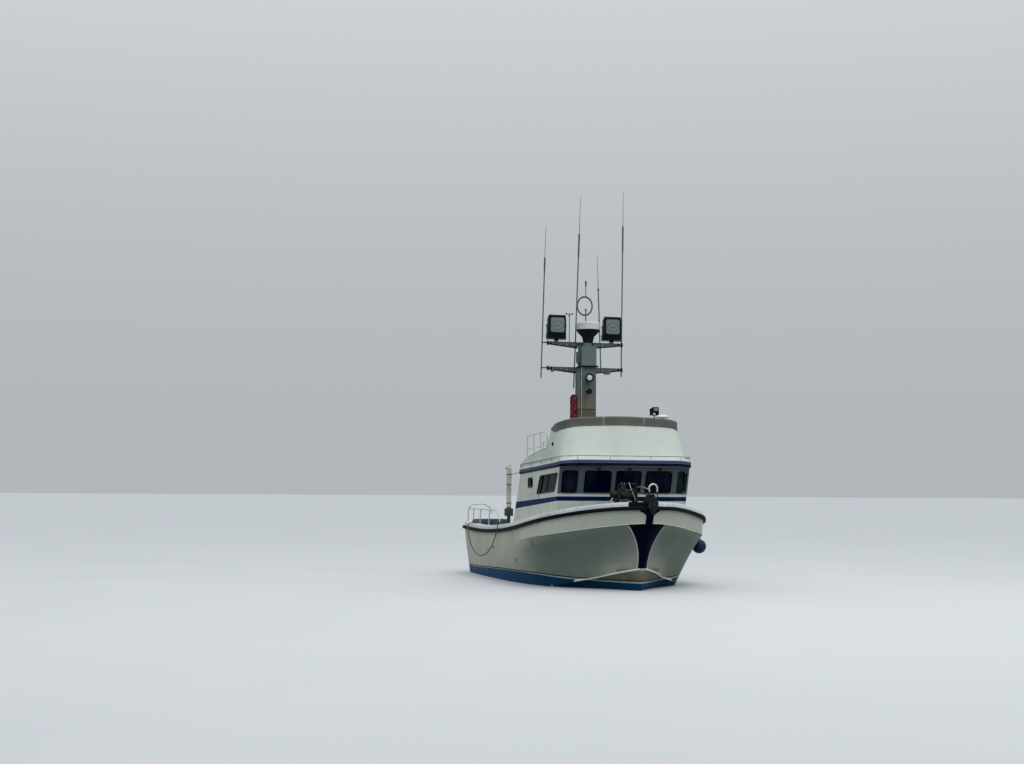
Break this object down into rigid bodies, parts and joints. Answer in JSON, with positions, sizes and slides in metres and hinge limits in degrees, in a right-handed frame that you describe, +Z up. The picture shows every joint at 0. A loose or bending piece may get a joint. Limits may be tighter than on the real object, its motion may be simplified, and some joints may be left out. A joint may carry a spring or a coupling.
{
  "type": "inshore fishing boat",
  "caption": "Small inshore fishing boat with its house and flybridge forward, an open working deck aft, lighting mast, net reel and anchor gear.",
  "frame": {"origin": "centre of the hull on the waterline, amidships", "axes": "+Z up, -Y toward the bow, +X to port"},
  "size_m": [5.1325, 9.983, 12.1001],
  "materials": {
    "hull_paint": "weathered gloss paint",
    "house_paint": "weathered gloss paint",
    "white_paint": "satin paint",
    "bottom_paint": "matt antifouling",
    "black_rubber": "scuffed",
    "dark_paint": "satin",
    "mast_paint": "weathered paint",
    "grey_paint": "satin",
    "red_paint": "weathered paint",
    "window_glass": "tinted",
    "rail_steel": "tarnished",
    "galvanised": "galvanised, rust in the corners",
    "bronze": "dull",
    "canvas": "woven",
    "white_plastic": "smooth",
    "buoy_vinyl": "inflated vinyl",
    "net_twine": "wound net",
    "rope_fibre": "laid rope",
    "seat_vinyl": "grained"
  },
  "bodies": {
    "boat": {"hull": "hull_paint", "hull_sides": "hull_paint", "hull_bow": "hull_paint", "rub_rail": "black_rubber", "gunwale_cap": "white_paint", "keel": "bottom_paint", "engine_block": "grey_paint", "house_front_wall": "house_paint", "glazing_front": "window_glass", "house_side_port": "house_paint", "glazing_port": "window_glass", "house_side_starboard": "house_paint", "glazing_starboard": "window_glass", "house_aft_wall": "house_paint", "house_roof": "white_paint", "dash_console": "grey_paint", "helm_seat": "seat_vinyl", "settee": "seat_vinyl", "flybridge_coaming": "white_paint", "flybridge_cover": "canvas", "flybridge_console": "white_paint", "flybridge_rail_port": "rail_steel", "flybridge_rail_starboard": "rail_steel", "mast": "mast_paint", "whip_antenna_starboard": "white_plastic", "whip_antenna_mid": "white_plastic", "whip_antenna_port": "white_plastic", "whip_antenna_short": "white_plastic", "floodlight_starboard": "dark_paint", "floodlight_port": "dark_paint", "radar_dome": "white_plastic", "loop_antenna": "grey_paint", "red_canister": "red_paint", "roof_dome": "white_plastic", "deck_lamp": "dark_paint", "exhaust_stack": "grey_paint", "stern_rail_starboard": "rail_steel", "stern_rail_port": "rail_steel", "anchor_winch_frame": "galvanised", "bow_roller_frame": "galvanised", "anchor": "galvanised", "net_reel_frame": "galvanised", "stern_roller_frame": "galvanised", "fish_bin": "dark_paint", "mooring_bitt": "galvanised", "fender_buoy": "buoy_vinyl", "mooring_rope": "rope_fibre"},
    "fish_hatch_starboard": {"fish_hatch_starboard": "white_paint"},
    "fish_hatch_port": {"fish_hatch_port": "white_paint"},
    "engine_hatch": {"engine_hatch": "white_paint"},
    "foredeck_hatch": {"foredeck_hatch": "white_paint"},
    "propeller": {"propeller": "bronze"},
    "rudder": {"rudder": "bronze"},
    "cabin_door": {"cabin_door": "white_paint"},
    "helm_wheel": {"helm_wheel": "dark_paint"},
    "wind_cups": {"wind_cups": "dark_paint"},
    "anchor_winch_drum": {"anchor_winch_drum": "galvanised"},
    "bow_roller": {"bow_roller": "black_rubber"},
    "net_reel": {"net_reel": "net_twine"},
    "stern_roller": {"stern_roller": "rail_steel"}
  },
  "joints": [
    {"name": "rudder_turn", "type": "hinge", "parent": "boat", "child": "rudder", "pos_m": [0, 4.23, -0.5], "axis": [0, 0, 1], "range_deg": [-35, 35]},
    {"name": "helm_turn", "type": "hinge", "parent": "boat", "child": "helm_wheel", "pos_m": [0.75, -2.1, 1.62], "axis": [0, -1, 0], "range_deg": [-270, 270]},
    {"name": "cabin_door_hinge", "type": "hinge", "parent": "boat", "child": "cabin_door", "pos_m": [0.45, 0.505, 0.86], "axis": [0, 0, -1], "range_deg": [0, 100]},
    {"name": "net_reel_spin", "type": "hinge", "parent": "boat", "child": "net_reel", "pos_m": [0, 2.45, 1.43], "axis": [1, 0, 0], "continuous": true},
    {"name": "propeller_spin", "type": "hinge", "parent": "boat", "child": "propeller", "pos_m": [0, 3.66, -0.82], "axis": [0, 1, 0], "continuous": true},
    {"name": "anchor_winch_spin", "type": "hinge", "parent": "boat", "child": "anchor_winch_drum", "pos_m": [-0.33, -3.96, 2.39], "axis": [1, 0, 0], "continuous": true},
    {"name": "stern_roller_spin", "type": "hinge", "parent": "boat", "child": "stern_roller", "pos_m": [0, 4.715, 1.615], "axis": [1, 0, 0], "continuous": true},
    {"name": "bow_roller_spin", "type": "hinge", "parent": "boat", "child": "bow_roller", "pos_m": [0, -4.885, 2.295], "axis": [1, 0, 0], "continuous": true},
    {"name": "wind_cups_spin", "type": "hinge", "parent": "boat", "child": "wind_cups", "pos_m": [-0.45, 0.315, 7.29], "axis": [0, 0, 1], "continuous": true},
    {"name": "fish_hatch_starboard_hinge", "type": "hinge", "parent": "boat", "child": "fish_hatch_starboard", "pos_m": [-1.11, 2.83, 0.6324], "axis": [1, 0, 0], "range_deg": [0, 100]},
    {"name": "fish_hatch_port_hinge", "type": "hinge", "parent": "boat", "child": "fish_hatch_port", "pos_m": [1.11, 2.83, 0.6324], "axis": [1, 0, 0], "range_deg": [0, 100]},
    {"name": "engine_hatch_hinge", "type": "hinge", "parent": "boat", "child": "engine_hatch", "pos_m": [0, -1.01, 0.7844], "axis": [1, 0, 0], "range_deg": [0, 100]},
    {"name": "foredeck_hatch_hinge", "type": "hinge", "parent": "boat", "child": "foredeck_hatch", "pos_m": [0.56, -3.71, 2.0244], "axis": [1, 0, 0], "range_deg": [0, 100]}
  ],
  "couplings": [
    {"joint": "helm_turn", "follows": "rudder_turn", "ratio": 7.7143}
  ]
}
